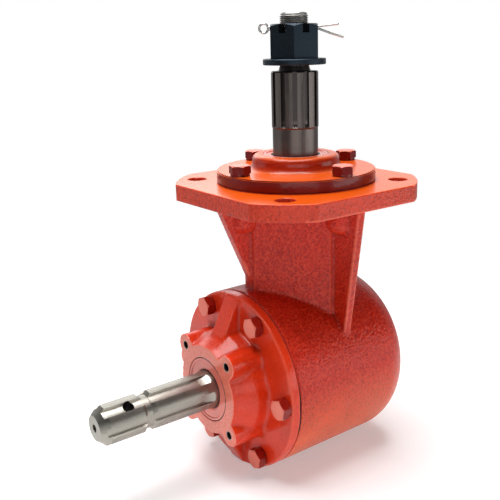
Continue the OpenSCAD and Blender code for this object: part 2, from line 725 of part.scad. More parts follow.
module input_cap() {
    color(paint_red) difference() {
        at_input() {
            translate([0, 0, in_flange_z0]) cylinder(r = barrel_r, h = in_flange_t);
            translate([0, 0, barrel_front - 8]) cylinder(r = front_bore_r - seat_gap, h = 12);
            input_hub();
            for (a = [90, 270]) rotate([0, 0, a]) input_rib();
        }
        at_input() {
            translate([0, 0, barrel_front - 9]) cylinder(r = rear_bore_r + 6, h = 9);
            translate([0, 0, barrel_front - 9])
                cylinder(r = rear_bore_r + seat_gap, h = front_z + brg_half - barrel_front + 9);
            translate([0, 0, barrel_front]) cylinder(r = in_seal_d / 2 - 2, h = 60);
            translate([0, 0, in_cap_front - seal_w - 0.3]) cylinder(d = in_seal_d + 2 * seat_gap, h = 20);
            for (a = [45 : 90 : 315]) rotate([0, 0, a]) translate([ear_reach, 0, in_cap_front - 18])
                cylinder(d = shield_hole_d, h = 20);
        }
        at_input_bolts() translate([0, 0, barrel_front]) cylinder(d = bolt_d, h = 30);
    }
}

// Hub of the input cap: a drum with a sloping front, and four ears from the flange to its face
module input_hub() {
    face_r = in_hub_d / 2;
    rotate_extrude() polygon([
        [0, in_flange_z1 - 1], [hub_side_r + 2.6, in_flange_z1 - 1], [hub_side_r + 2.6, in_flange_z1],
        [hub_side_r + 0.7, in_flange_z1 + 0.9], [hub_side_r, in_flange_z1 + 2.8],
        [hub_side_r, shoulder_z - 2.5], [hub_side_r - 1.6, shoulder_z + 1],
        [face_r, in_cap_front - 1.5], [face_r, in_cap_front], [0, in_cap_front]]);
    for (a = [45 : 90 : 315]) rotate([0, 0, a]) translate([0, 0, in_flange_z1 - 1]) {
        translate([ear_reach, 0, 0]) cylinder(r = ear_r, h = in_cap_front - in_flange_z1 + 1);
        translate([0, -ear_r, 0]) cube([ear_reach, 2 * ear_r, in_cap_front - in_flange_z1 + 1]);
    }
}

// Rib that slopes from the shoulder of the hub to the rim of the cap
module input_rib() {
    rotate([90, 0, 0]) translate([0, 0, -in_rib_w / 2]) linear_extrude(in_rib_w) polygon([
        [barrel_r - 1, in_flange_z0 + 2],
        [barrel_r - 1, in_flange_z1 + 1.5], [hub_side_r - 3, shoulder_z + 4.5],
        [hub_side_r - 14, shoulder_z + 4.5], [hub_side_r - 14, in_flange_z0 + 2]]);
}

module input_cap_gasket() {
    color(gasket_grey) difference() {
        at_input() ring(front_bore_r + 0.3, barrel_r - 0.4, barrel_front, in_flange_z0);
        at_input_bolts() translate([0, 0, barrel_front - 1]) cylinder(d = bolt_d + 1, h = 3);
    }
}

module input_cap_bolts() {
    color(paint_red) at_input_bolts() translate([0, 0, in_flange_z1]) rotate([0, 0, 20])
        cap_bolt(in_bolt_len);
}

module input_cap_lock_washers() {
    color(paint_red) at_input_bolts() translate([0, 0, in_flange_z1]) rotate([0, 0, 100]) lock_washer();
}

module input_seal() {
    color(rubber) at_input(in_cap_front - seal_w - 0.3) seal(in_shaft_d / 2, in_seal_d / 2, seal_w);
}

module input_shaft() {
    r = in_shaft_d / 2;
    seat_r = in_brg_bore / 2 - seat_gap;
    groove = in_end - groove_from_end;
    run_out = in_end - in_spline_len;
    front_seat = front_z - brg_half;
    color(steel) at_input() difference() {
        union() {
            rotate_extrude() polygon([
                [0, -plug_seat + 0.7], [seat_r - 1, -plug_seat + 0.7], [seat_r, -plug_seat + 1.7],
                [seat_r, clip_z0], [seat_r - 1.5, clip_z0], [seat_r - 1.5, clip_z1], [seat_r, clip_z1],
                [seat_r, -crown_front], [mid_shaft_r, -crown_front], [mid_shaft_r, front_seat],
                [seat_r, front_seat], [seat_r, front_seat + brg_w + 1], [r, front_seat + brg_w + 1.5],
                [r, run_out - 3.4], [r - 0.3, run_out - 3.1], [r - 0.3, run_out - 2.5], [r, run_out - 2.2],
                [r, groove - 5.6], [r - 2.9, groove - 2.7], [r - 2.9, groove + 2.7], [r, groove + 5.6],
                [r, in_end - 7.5], [r - 6.5, in_end], [0, in_end]]);
            translate([0, 0, -crown_back + 0.5]) linear_extrude(crown_back - crown_front)
                gear_spline(crown_fit);
        }
        for (i = [0 : in_splines - 1]) rotate([0, 0, input_turn + (i + 0.5) * 360 / in_splines])
            spline_gap(run_out);
        rotate([0, 0, input_turn + 30]) translate([0, 0, in_end - pin_from_end]) rotate([0, 90, 0])
            cylinder(d = pin_hole_d, h = 60, center = true);
        translate([0, 0, in_end - 9]) cylinder(r = 2.2, h = 20);
        translate([0, 0, in_end - 4]) cylinder(r1 = 2.2, r2 = 3.4, h = 4.1);
    }
}

// Space between two input splines, ending in the sweep of the cutter
module spline_gap(run_out) {
    r = in_shaft_d / 2;
    root = in_root_d / 2;
    half_w = in_spline_w / 2;
    pitch = 180 / in_splines;
    side = half_w / sin(pitch);
    far = (r + 6) * [cos(pitch), sin(pitch)] + half_w * [sin(pitch), -cos(pitch)];
    translate([0, 0, run_out]) linear_extrude(in_end) difference() {
        polygon([[side, 0], far, [far[0], -far[1]]]);
        circle(r = root);
    }
    translate([root + 25, 0, run_out]) rotate([90, 0, 0])
        cylinder(r = 25, h = 2 * (r * sin(pitch) - half_w) + 0.4, center = true);
}

module crown_gear() {
    color(gear_steel) difference() {
        at_rear() union() {
            rotate([0, 0, -90]) bevel_teeth(crown_teeth, crown_angle, 22);
            translate([0, 0, crown_front]) cylinder(r = 27.5, h = crown_back - crown_front);
            translate([0, 0, crown_root_y - 3]) cylinder(r = crown_r - 10, h = 7.5);
        }
        at_rear() translate([0, 0, crown_front - 1]) linear_extrude(crown_back)
            gear_spline(crown_fit, seat_gap);
    }
}

module crown_snap_ring() {
    r = in_brg_bore / 2;
    color(steel) at_input() difference() {
        ring(r - 1.5, r + 2.5, clip_z0, clip_z1);
        translate([0, -2, clip_z0 - 5]) cube([30, 4, 10]);
    }
}

module rear_bore_snap_ring() {
    color(steel) at_rear() difference() {
        ring(rear_bore_r - 3, rear_bore_r + 2 - seat_gap, rear_cup_back, rear_cup_back + ring_t);
        translate([0, -5, rear_cup_back - 1]) cube([60, 10, ring_t + 2]);
    }
}

module rear_bore_plug() {
    r = rear_bore_r + 2.5 - seat_gap;
    color(iron_red) at_rear() translate([0, 0, plug_seat]) rotate_extrude() polygon([
        [0, 1.2], [r - 6, 1.2], [r - 5, 0], [r, 0], [r, 4], [r - 3, 4], [r - 4.5, 3], [0, 3]]);
}

module level_plug() {
    color(black_oxide) at_input() rotate([0, -90, 0]) {
        translate([0, 0, barrel_r + 3]) cylinder(r = 14, h = 2);
        translate([0, 0, barrel_r + 4.5]) hex_prism(19, 6, 0.1, 1);
        translate([0, 0, barrel_r - 8]) cylinder(r = plug_r - seat_gap, h = 12);
    }
}

module fill_plug() {
    color(black_oxide) at_input() rotate([90, 0, 0]) translate([0, 0, barrel_r - fill_plug_h]) difference() {
        cylinder(r = plug_r - seat_gap, h = fill_plug_h - 0.9);
        translate([0, 0, 3.6]) cylinder(r = 6.9, h = 10, $fn = 6);
    }
}

housing();
output_cap();
output_cap_gasket();
output_cap_bolts();
output_cap_lock_washers();
output_seal();
output_shaft();
flat_washer();
slotted_nut();
cotter_pin();
upper_bearing_cup();
upper_bearing_cone();
upper_bearing_rollers();
upper_bearing_cage();
lower_bearing_cup();
lower_bearing_cone();
lower_bearing_rollers();
lower_bearing_cage();
bearing_spacer();
pinion();
pinion_tab_washer();
pinion_nut();
input_cap();
input_cap_gasket();
input_cap_bolts();
input_cap_lock_washers();
input_seal();
input_shaft();
crown_gear();
crown_snap_ring();
front_bearing_cup();
front_bearing_cone();
front_bearing_rollers();
front_bearing_cage();
rear_bearing_cup();
rear_bearing_cone();
rear_bearing_rollers();
rear_bearing_cage();
rear_bore_snap_ring();
rear_bore_plug();
level_plug();
fill_plug();
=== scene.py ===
import math

import bpy
import numpy as np
from mathutils import Matrix, Vector
from mathutils.bvhtree import BVHTree


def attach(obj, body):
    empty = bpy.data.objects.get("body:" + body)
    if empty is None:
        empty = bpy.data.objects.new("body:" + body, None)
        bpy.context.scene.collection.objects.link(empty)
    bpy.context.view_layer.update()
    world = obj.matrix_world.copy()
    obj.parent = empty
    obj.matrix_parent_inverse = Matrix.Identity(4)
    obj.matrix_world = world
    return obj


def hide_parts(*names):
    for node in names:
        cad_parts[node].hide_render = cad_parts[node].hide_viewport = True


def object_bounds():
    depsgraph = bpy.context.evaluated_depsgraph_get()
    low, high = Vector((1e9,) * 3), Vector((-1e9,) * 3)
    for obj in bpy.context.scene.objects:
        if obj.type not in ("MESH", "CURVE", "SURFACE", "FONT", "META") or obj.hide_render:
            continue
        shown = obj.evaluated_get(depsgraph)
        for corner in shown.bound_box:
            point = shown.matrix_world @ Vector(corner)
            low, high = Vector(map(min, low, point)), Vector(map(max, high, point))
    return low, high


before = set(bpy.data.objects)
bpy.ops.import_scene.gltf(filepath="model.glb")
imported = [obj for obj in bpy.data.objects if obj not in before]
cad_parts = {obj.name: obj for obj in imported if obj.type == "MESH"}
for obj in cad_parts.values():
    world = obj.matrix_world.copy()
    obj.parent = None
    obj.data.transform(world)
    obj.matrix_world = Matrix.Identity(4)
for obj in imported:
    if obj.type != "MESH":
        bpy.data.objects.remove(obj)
cad_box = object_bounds()

# Camera
# It stands about 0.7 m away, to the right of the input shaft and a little above the flange,
# at the place where the flange, the cap bolts and the shafts line up with the photograph.
PHOTO_SIDE = 500
CAMERA_PLACE = Vector((0.5266, -0.4349, 0.1255))
CAMERA_YAW = math.radians(52.124)
CAMERA_PITCH = math.radians(16.173)
CAMERA_ROLL = math.radians(-1.234)
SENSOR_WIDTH = 36
FOCAL_PIXELS = 747.15
CENTRE_X = 275.98
CENTRE_Y = 254.93

back = Vector((math.sin(CAMERA_YAW) * math.cos(CAMERA_PITCH),
               -math.cos(CAMERA_YAW) * math.cos(CAMERA_PITCH), math.sin(CAMERA_PITCH)))
level = Vector((math.cos(CAMERA_YAW), math.sin(CAMERA_YAW), 0))
above = back.cross(level)
right = level * math.cos(CAMERA_ROLL) + above * math.sin(CAMERA_ROLL)
up = above * math.cos(CAMERA_ROLL) - level * math.sin(CAMERA_ROLL)
camera_data = bpy.data.cameras.new("camera")
camera_data.sensor_width = SENSOR_WIDTH
camera_data.lens = FOCAL_PIXELS / PHOTO_SIDE * SENSOR_WIDTH
camera_data.shift_x = (PHOTO_SIDE / 2 - CENTRE_X) / PHOTO_SIDE
camera_data.shift_y = (CENTRE_Y - PHOTO_SIDE / 2) / PHOTO_SIDE
camera = bpy.data.objects.new("camera", camera_data)
camera.matrix_world = Matrix((
    (right.x, up.x, back.x, CAMERA_PLACE.x),
    (right.y, up.y, back.y, CAMERA_PLACE.y),
    (right.z, up.z, back.z, CAMERA_PLACE.z),
    (0, 0, 0, 1)))
bpy.context.collection.objects.link(camera)
bpy.context.scene.camera = camera

# Housing
# One sand casting holds the flange, the neck with its ribs and the barrel. It is sprayed
# red over the rough skin, and its edges are as round as the mould leaves them.
BARREL_AXIS_Z = -0.1785
BARREL_FRONT_Y = -0.066
BARREL_FADE_START_Z = -0.165
BARREL_FADE_END_Z = -0.225
MOUNT_HOLE_END_Z = -0.0162
FLANGE_SIDE_Z = -0.0165
MOUNT_HOLE = 0.06588
MOUNT_HOLE_R = 0.00873
PLUG_SEAT_R = 0.0385
PLUG_SEAT_START_Y = 0.03
MILLED_TOP_Z = -0.0008
CUT_SKIN = 0.0006
HOLE_SKIN = 0.0008

SAND_DEPTH = 0.0009
SAND_GRAINS_PER_METRE = 480.0
PITS_PER_METRE = 420.0
WAVES_PER_METRE = 60.0
TONES_PER_METRE = 16.0
THICK_PAINT_DARKNESS = 0.22
PIT_TONE_AND_CORNER_SHADE_DARKNESS = 0.60

BLACK = (0, 0, 0, 1)
CAST_RED = (0.66, 0.020, 0.005, 1)
# Painted light: the lower barrel is tinted lighter and warmer, in place of the light the floor throws up.
FLOOR_BOUNCE_RED = (0.98, 0.160, 0.050, 1)
# Painted light: the flange is tinted lighter and more orange than the rest of the casting, where the light
# falls on it.
FLANGE_LIT_RED = (0.78, 0.055, 0.022, 1)
# Paler red for outer edges: partly rubbed paint, partly a painted highlight along the edges.
EDGE_WEAR_AND_HIGHLIGHT_RED = (0.95, 0.16, 0.09, 1)
# Painted light: faces that look up, such as the milled flange top and the output cap's top, turn orange as
# if in bright top light.
TOP_LIT_ORANGE = (0.76, 0.095, 0.003, 1)


def plug_in(socket, value):
    """Joins a socket to another node's output, or sets it to a plain value."""
    if hasattr(value, "links"):
        socket.node.id_data.links.new(value, socket)
    else:
        socket.default_value = value


def node_adder(tree):
    """A function that adds nodes to an emptied tree. The keyword of an input is its name with _
    for each space, or i and its number."""
    tree.nodes.clear()

    def add(kind, settings=None, **inputs):
        node = tree.nodes.new(kind)
        for key, value in (settings or {}).items():
            setattr(node, key, value)
        for key, value in inputs.items():
            numbered = key[0] == "i" and key[1:].isdigit()
            plug_in(node.inputs[int(key[1:]) if numbered else key.replace("_", " ")], value)
        return node

    return add


def new_material(name):
    """An empty node material and the function that adds nodes to it."""
    material = bpy.data.materials.new(name)
    material.use_nodes = True
    return material, node_adder(material.node_tree)


def finish_material(add, shader):
    """Joins the shader to the material's output."""
    add("ShaderNodeOutputMaterial", Surface=shader.outputs[0])


def mixed(add, factor, low, high):
    """Colour between low and high by a factor."""
    return add("ShaderNodeMix", {"data_type": "RGBA"}, i0=factor, i6=low, i7=high).outputs[2]


def ramp(add, value, low, high, start=0.0, end=1.0):
    """A number that runs from start to end while value runs from low to high."""
    return add("ShaderNodeMapRange", i0=value, i1=low, i2=high, i3=start, i4=end).outputs[0]


def figure(add, operation, *values):
    """Result of one sum on numbers."""
    node = add("ShaderNodeMath", {"operation": operation})
    for socket, value in zip(node.inputs, values):
        plug_in(socket, value)
    return node.outputs[0]


def coordinate(add, place, axis):
    """A place's coordinate along one axis."""
    return add("ShaderNodeSeparateXYZ", i0=place).outputs[axis]


def enamel(name, colour, grain, gloss, coat, machined=None, tints=(), patches=()):
    """Red enamel over iron. grain is how deep the sand texture shows, in metres, and coat is how
    much clear lacquer has risen to the top. machined is a mask of the places where the iron is
    smooth. tints and patches are pairs of a mask and a colour, under the grain and over it."""
    material, add = new_material(name)
    place = add("ShaderNodeTexCoord").outputs["Object"]
    sand = add("ShaderNodeTexNoise", Vector=place, Scale=SAND_GRAINS_PER_METRE, Detail=2.0, Roughness=0.55)
    pits = add("ShaderNodeTexVoronoi", {"feature": "SMOOTH_F1"}, Vector=place, Scale=PITS_PER_METRE,
               Smoothness=0.4)
    waves = add("ShaderNodeTexNoise", Vector=place, Scale=WAVES_PER_METRE, Detail=2.0)
    tone = add("ShaderNodeTexNoise", Vector=place, Scale=TONES_PER_METRE, Detail=3.0)
    height = figure(add, "MULTIPLY_ADD", pits.outputs["Distance"], 0.45, sand.outputs["Fac"])
    depth = figure(add, "MULTIPLY_ADD", waves.outputs["Fac"], 0.6, height)
    relief = add("ShaderNodeAttribute", {"attribute_name": "relief"}).outputs["Fac"]

    # Paler, pinker paint on the grain's peaks: part of the sand texture, part a painted sheen on the
    # specks.
    crest_tone_and_sheen = (min(1, colour[0] * 1.25), colour[1] * 3.5, colour[2] * 5.0, 1)
    shade = colour
    for mask, tint in tints:
        shade = mixed(add, mask(add, place), shade, tint)
    thick = mixed(add, THICK_PAINT_DARKNESS, shade, BLACK)
    shade = mixed(add, ramp(add, tone.outputs["Fac"], 0.32, 0.68), thick, shade)
    # Darker copy of the paint: the sand pits' own tone, and painted shade for inner corners.
    pit_tone_and_corner_shade = mixed(add, PIT_TONE_AND_CORNER_SHADE_DARKNESS, shade, BLACK)
    speck = min(1.0, grain / SAND_DEPTH)
    shade = mixed(add, ramp(add, height, 0.66, 0.50, 0.0, 0.50 * speck), shade, pit_tone_and_corner_shade)
    shade = mixed(add, ramp(add, height, 0.70, 0.86, 0.0, 0.45 * speck), shade, crest_tone_and_sheen)
    # Painted shade: inner corners and creases, where the relief is low, are darkened.
    shade = mixed(add, ramp(add, relief, 0.46, 0.15, 0.0, 0.8), shade, pit_tone_and_corner_shade)
    # Outer edges, where the relief is high, turn paler: partly rubbed paint, partly a painted highlight.
    shade = mixed(add, ramp(add, relief, 0.58, 0.90, 0.0, 0.65), shade, EDGE_WEAR_AND_HIGHLIGHT_RED)
    for mask, patch in patches:
        shade = mixed(add, mask(add, place), shade, patch)

    strength = 1.0
    shine = ramp(add, sand.outputs["Fac"], 0.35, 0.65, gloss, gloss + 0.10)
    if machined:
        smooth = machined(add, place)
        strength = figure(add, "MULTIPLY_ADD", smooth, -0.94, 1.0)
        shine = figure(add, "MULTIPLY_ADD", smooth, -0.12, shine)
    bump = add("ShaderNodeBump", Strength=strength, Distance=grain, Height=depth)
    lacquer = add("ShaderNodeBump", Strength=strength, Distance=0.7 * grain, Height=depth)
    finish_material(add, add("ShaderNodeBsdfPrincipled", Base_Color=shade, Roughness=shine,
                             Normal=bump.outputs[0], Coat_Normal=lacquer.outputs[0],
                             Specular_IOR_Level=0.15, Coat_Weight=coat, Coat_Roughness=0.13))
    return material


def facing(axis, sign):
    """Mask of the faces that look along one way of an axis."""
    def mask(add, place):
        return ramp(add, coordinate(add, add("ShaderNodeTexCoord").outputs["Normal"], axis),
                    0.55 * sign, 0.95 * sign)
    return mask


def both_masks(first, second):
    """Mask of the places that two masks share."""
    def mask(add, place):
        return figure(add, "MULTIPLY", first(add, place), second(add, place))
    return mask


def below_height(start, end):
    """Mask that grows from one height down to another."""
    def mask(add, place):
        return ramp(add, coordinate(add, place, 2), start, end)
    return mask


def above_height(z):
    """Mask of what lies above a height, such as a milled face on top."""
    def mask(add, place):
        return figure(add, "GREATER_THAN", coordinate(add, place, 2), z)
    return mask


def paint(obj, material):
    """Gives an object one material on all its faces."""
    obj.data.materials.clear()
    obj.data.materials.append(material)


def casting(node, body, voxel, fillet, wear, material, machined):
    """Copy of a cast CAD piece with the fillets and dull edges of a sand mould. fillet and wear
    are the rounds that fill its inner corners and dull its outer edges, and machined(points)
    marks what is cut after casting and stays sharp."""
    fillet_step = 0.8
    wear_step = 0.4
    cut_wear = 0.1
    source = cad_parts[node].data
    rough = bpy.data.objects.new(node + "_rough", source.copy())
    bpy.context.collection.objects.link(rough)
    remesh = rough.modifiers.new("skin", "REMESH")
    remesh.mode = "VOXEL"
    remesh.voxel_size = voxel
    mesh = bpy.data.meshes.new_from_object(rough.evaluated_get(bpy.context.evaluated_depsgraph_get()))
    bpy.data.objects.remove(rough)

    count = len(mesh.vertices)
    points = np.empty(count * 3)
    mesh.vertices.foreach_get("co", points)
    points = points.reshape(-1, 3)
    edges = np.empty(len(mesh.edges) * 2, dtype=np.int32)
    mesh.edges.foreach_get("vertices", edges)
    edges = edges.reshape(-1, 2)
    here = np.concatenate([edges[:, 0], edges[:, 1]])
    there = np.concatenate([edges[:, 1], edges[:, 0]])
    links = np.maximum(np.bincount(here, minlength=count), 1)[:, None]
    corners = np.empty(len(mesh.loops), dtype=np.int32)
    mesh.loops.foreach_get("vertex_index", corners)
    quads = corners.reshape(-1, 4)

    def spread(values):
        """Mean of each point's neighbours."""
        columns = [np.bincount(here, values[there, k], count) for k in range(values.shape[1])]
        return np.stack(columns, 1) / links

    def outward(at):
        """Unit normal of the skin at each point."""
        face = np.cross(at[quads[:, 2]] - at[quads[:, 0]], at[quads[:, 3]] - at[quads[:, 1]])
        total = np.stack([np.bincount(corners, np.repeat(face[:, k], 4), count) for k in range(3)], 1)
        return total / np.maximum(np.linalg.norm(total, axis=1, keepdims=True), 1e-12)

    skin = BVHTree.FromPolygons([v.co for v in source.vertices], [f.vertices for f in source.polygons])
    points = np.array([skin.find_nearest(Vector(point))[0] for point in points])
    free = np.where(machined(points), 0.0, 1.0)[:, None]
    for turn in range(fillet):
        normal = outward(points)
        lift = ((spread(points) - points) * normal).sum(1, keepdims=True)
        points += fillet_step * free * np.maximum(lift, 0) * normal
    for turn in range(wear):
        points += wear_step * np.maximum(free, cut_wear) * (spread(points) - points)
    mesh.vertices.foreach_set("co", points.ravel())

    normal = outward(points)
    bend = -((spread(points) - points) * normal).sum(1, keepdims=True) * free / voxel
    for turn in range(2):
        bend = spread(bend)
    relief = mesh.attributes.new("relief", "FLOAT", "POINT")
    relief.data.foreach_set("value", np.clip(0.5 + 4.0 * bend.ravel(), 0, 1))
    mesh.polygons.foreach_set("use_smooth", np.ones(len(mesh.polygons), dtype=bool))
    cast = bpy.data.objects.new(node + "_casting", mesh)
    bpy.context.collection.objects.link(cast)
    paint(cast, material)
    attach(cast, body)
    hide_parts(node)


def housing_cut(points):
    """Milled faces, mounting holes and the bore of the end plug."""
    side = np.abs(points)
    in_hole = np.hypot(side[:, 0] - MOUNT_HOLE, side[:, 1] - MOUNT_HOLE) < MOUNT_HOLE_R + HOLE_SKIN
    in_seat = np.hypot(points[:, 0], points[:, 2] - BARREL_AXIS_Z) < PLUG_SEAT_R + CUT_SKIN
    return ((points[:, 2] > -CUT_SKIN) | (points[:, 1] < BARREL_FRONT_Y + CUT_SKIN)
            | (in_hole & (points[:, 2] > MOUNT_HOLE_END_Z))
            | (in_seat & (points[:, 1] > PLUG_SEAT_START_Y)))


facing_up = facing(2, 1)
milled_top = above_height(MILLED_TOP_Z)
cast_enamel = enamel("cast_enamel", CAST_RED, grain=SAND_DEPTH, gloss=0.40, coat=0.40, machined=milled_top,
                     tints=[(below_height(BARREL_FADE_START_Z, BARREL_FADE_END_Z), FLOOR_BOUNCE_RED),
                            (above_height(FLANGE_SIDE_Z), FLANGE_LIT_RED)],
                     patches=[(both_masks(milled_top, facing_up), TOP_LIT_ORANGE)])
casting("housing", "gear_case", voxel=0.0011, fillet=9, wear=1, material=cast_enamel,
        machined=housing_cut)

# Bearings
# Four tapered roller bearings of ground steel. The rollers lie in pressed steel cages, and
# the cups are pressed into the casting before the shafts go in.


def steel(name, colour, roughness, marks, depth=0.00002, stretch=(1, 1, 1), patches=()):
    """Bare machined steel. marks is how many tool marks there are to the metre, and stretch
    is the direction across which they change. patches are pairs of a mask and a colour."""
    material, add = new_material(name)
    place = add("ShaderNodeTexCoord").outputs["Object"]
    along = add("ShaderNodeMapping", Vector=place, Scale=stretch)
    lines = add("ShaderNodeTexNoise", Vector=along.outputs[0], Scale=marks, Detail=4.0, Roughness=0.7)
    cloud = add("ShaderNodeTexNoise", Vector=place, Scale=70.0, Detail=3.0)
    dark = tuple(c * 0.78 for c in colour) + (1,)
    light = tuple(min(1, c * 1.12) for c in colour) + (1,)
    both = figure(add, "MULTIPLY_ADD", cloud.outputs["Fac"], 0.5, lines.outputs["Fac"])
    shade = mixed(add, ramp(add, both, 0.5, 1.0), dark, light)
    for mask, patch in patches:
        shade = mixed(add, mask(add, place), shade, patch)
    bump = add("ShaderNodeBump", Strength=0.6, Distance=depth, Height=lines.outputs["Fac"])
    shine = ramp(add, both, 0.45, 1.05, roughness, roughness + 0.16)
    finish_material(add, add("ShaderNodeBsdfPrincipled", Base_Color=shade, Metallic=1.0,
                             Roughness=shine, Normal=bump.outputs[0]))
    return material


def paint_nodes(material, *names):
    """Gives CAD pieces one material."""
    for name in names:
        paint(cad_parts[name], material)


race_steel = steel("race_steel", (0.56, 0.55, 0.53), roughness=0.16, marks=900.0)
cage_steel = steel("cage_steel", (0.40, 0.38, 0.35), roughness=0.34, marks=500.0)
for station in ("upper", "lower", "front", "rear"):
    paint_nodes(race_steel, *(f"{station}_bearing_{part}" for part in ("cup", "cone", "rollers")))
    paint_nodes(cage_steel, f"{station}_bearing_cage")

# Gears
# A crown gear of 22 teeth on the input shaft turns a pinion of 15 teeth on the output shaft.
# Both are forged, cut and case-hardened, and are held by a nut, a tab washer and a clip.
gear_steel = steel("gear_steel", (0.30, 0.29, 0.27), roughness=0.30, marks=600.0, depth=0.00004)
turned_steel = steel("turned_steel", (0.48, 0.46, 0.43), roughness=0.26, marks=1400.0)
nut_black = steel("nut_black", (0.030, 0.036, 0.046), roughness=0.38, marks=800.0)
paint_nodes(gear_steel, "pinion", "crown_gear")
paint_nodes(turned_steel, "bearing_spacer", "pinion_tab_washer", "crown_snap_ring", "rear_bore_snap_ring")
paint_nodes(nut_black, "pinion_nut")

# Input shaft
# A ground bar with six milled splines, a locking groove and a cross hole. It is bare, bright
# and a little warm, with fine rings from the grinding wheel. Its two holes are darkened as painted shade.
CROSS_HOLE_PLACE = (0, -0.1895, BARREL_AXIS_Z)
CROSS_HOLE_WAY = (0.5, 0, 0.866025)
CROSS_HOLE_R = 0.00475
CENTRE_HOLE_R = 0.0034
SHAFT_WAY = (0, 1, 0)
# Painted shade for the walls of the cross hole and the centre hole.
BORE_SHADE = (0.035, 0.030, 0.024, 1)


def bore_wall(centre, way, wall_radius):
    """Mask of the wall of a hole that runs one way through a point, darkened as painted shade. The shade
    thins out at its rim.
    """
    def mask(add, place):
        gap = add("ShaderNodeVectorMath", {"operation": "SUBTRACT"}, i0=place, i1=centre)
        flat = add("ShaderNodeVectorMath", {"operation": "CROSS_PRODUCT"}, i0=gap.outputs[0], i1=way)
        radius = add("ShaderNodeVectorMath", {"operation": "LENGTH"}, i0=flat.outputs[0])
        return ramp(add, radius.outputs["Value"], wall_radius + 0.0003, wall_radius + 0.0001, 0.0, 0.9)
    return mask


input_steel = steel("input_steel", (0.37, 0.355, 0.315), roughness=0.30, marks=260.0, depth=0.00005,
                    stretch=(1, 9, 1),
                    patches=[(bore_wall(CROSS_HOLE_PLACE, CROSS_HOLE_WAY, CROSS_HOLE_R), BORE_SHADE),
                             (bore_wall(CROSS_HOLE_PLACE, SHAFT_WAY, CENTRE_HOLE_R), BORE_SHADE)])
paint_nodes(input_steel, "input_shaft")

# Input cap
# A cast cap with four drilled ears and two ribs, faced at the front and sprayed thickly. The
# six bolts and their split washers are painted with it, and a paper gasket seals the joint.
CAP_FRONT_Y = -0.108
EAR_REACH = 0.0328
EAR_HOLE_CUT_R = 0.0043
EAR_RIM_R = 0.0044
EAR_HOLE_R = 0.0037
SEAL_BORE_CUT_R = 0.0306
CAP_RED = (0.88, 0.040, 0.006, 1)
# Painted reflection: pale pink on faces that look towards the floor and the lamps, that is the cap's faced
# front, the fronts of its bolts and the tops of the cover bolts.
SHEEN_PINK = (0.92, 0.20, 0.13, 1)
# Pale rim round the tapped holes: bare steel of the threads, lightened as a painted glint.
BARE_RIM_AND_GLINT = (0.62, 0.38, 0.32, 1)
# Near black: painted shade inside the tapped holes over their bare threads, and the real dark of the seals'
# rubber lips and joints.
HOLE_SHADE_AND_RUBBER_BLACK = (0.012, 0.008, 0.008, 1)
BOLT_RED = (0.62, 0.015, 0.005, 1)


def ear_holes(radius):
    """Mask of the four tapped holes in the ears, out to a radius."""
    def mask(add, place):
        side = figure(add, "ABSOLUTE", coordinate(add, place, 0))
        tall = figure(add, "ABSOLUTE", figure(add, "SUBTRACT", coordinate(add, place, 2), BARREL_AXIS_Z))
        point = add("ShaderNodeCombineXYZ", i0=side, i1=0.0, i2=tall)
        gap = add("ShaderNodeVectorMath", {"operation": "DISTANCE"}, i0=point.outputs[0],
                  i1=(EAR_REACH, 0, EAR_REACH))
        return ramp(add, gap.outputs["Value"], radius + 0.0002, radius - 0.0002)
    return mask


def in_front_of(y):
    """Mask of what lies in front of a plane across the input shaft."""
    def mask(add, place):
        return figure(add, "LESS_THAN", coordinate(add, place, 1), y)
    return mask


def cap_cut(points):
    """Faced front, the seal's bore and the tapped holes of the ears."""
    tall = points[:, 2] - BARREL_AXIS_Z
    in_ear = np.hypot(np.abs(points[:, 0]) - EAR_REACH, np.abs(tall) - EAR_REACH) < EAR_HOLE_CUT_R
    in_bore = np.hypot(points[:, 0], tall) < SEAL_BORE_CUT_R
    return (points[:, 1] < CAP_FRONT_Y + CUT_SKIN) | in_ear | in_bore


cap_front = in_front_of(CAP_FRONT_Y + CUT_SKIN)
cap_enamel = enamel("cap_enamel", CAP_RED, grain=0.00022, gloss=0.35, coat=0.55, machined=cap_front,
                    patches=[(cap_front, SHEEN_PINK), (ear_holes(EAR_RIM_R), BARE_RIM_AND_GLINT),
                             (ear_holes(EAR_HOLE_R), HOLE_SHADE_AND_RUBBER_BLACK)])
casting("input_cap", "gear_case", voxel=0.0009, fillet=26, wear=14, material=cap_enamel,
        machined=cap_cut)
cap_bolt_enamel = enamel("cap_bolt_enamel", BOLT_RED, grain=0.00012, gloss=0.35, coat=0.50,
                         patches=[(facing(1, -1), SHEEN_PINK)])
paint_nodes(cap_bolt_enamel, "input_cap_bolts", "input_cap_lock_washers")

JOINT_SHADE_SIDE_X = 0.06
JOINT_SHADE_MIDDLE_Z = -0.183
JOINT_SHADE_REACH = 0.016
JOINT_SHADE_FADE = 0.012
JOINT_SHADE_DARK = (0.012, 0.004, 0.003, 1)
JOINT_SHADE_PALE = (0.045, 0.012, 0.008, 1)
SPRAY_DARK = (0.36, 0.010, 0.003, 1)
SPRAY_PALE = (0.60, 0.026, 0.006, 1)

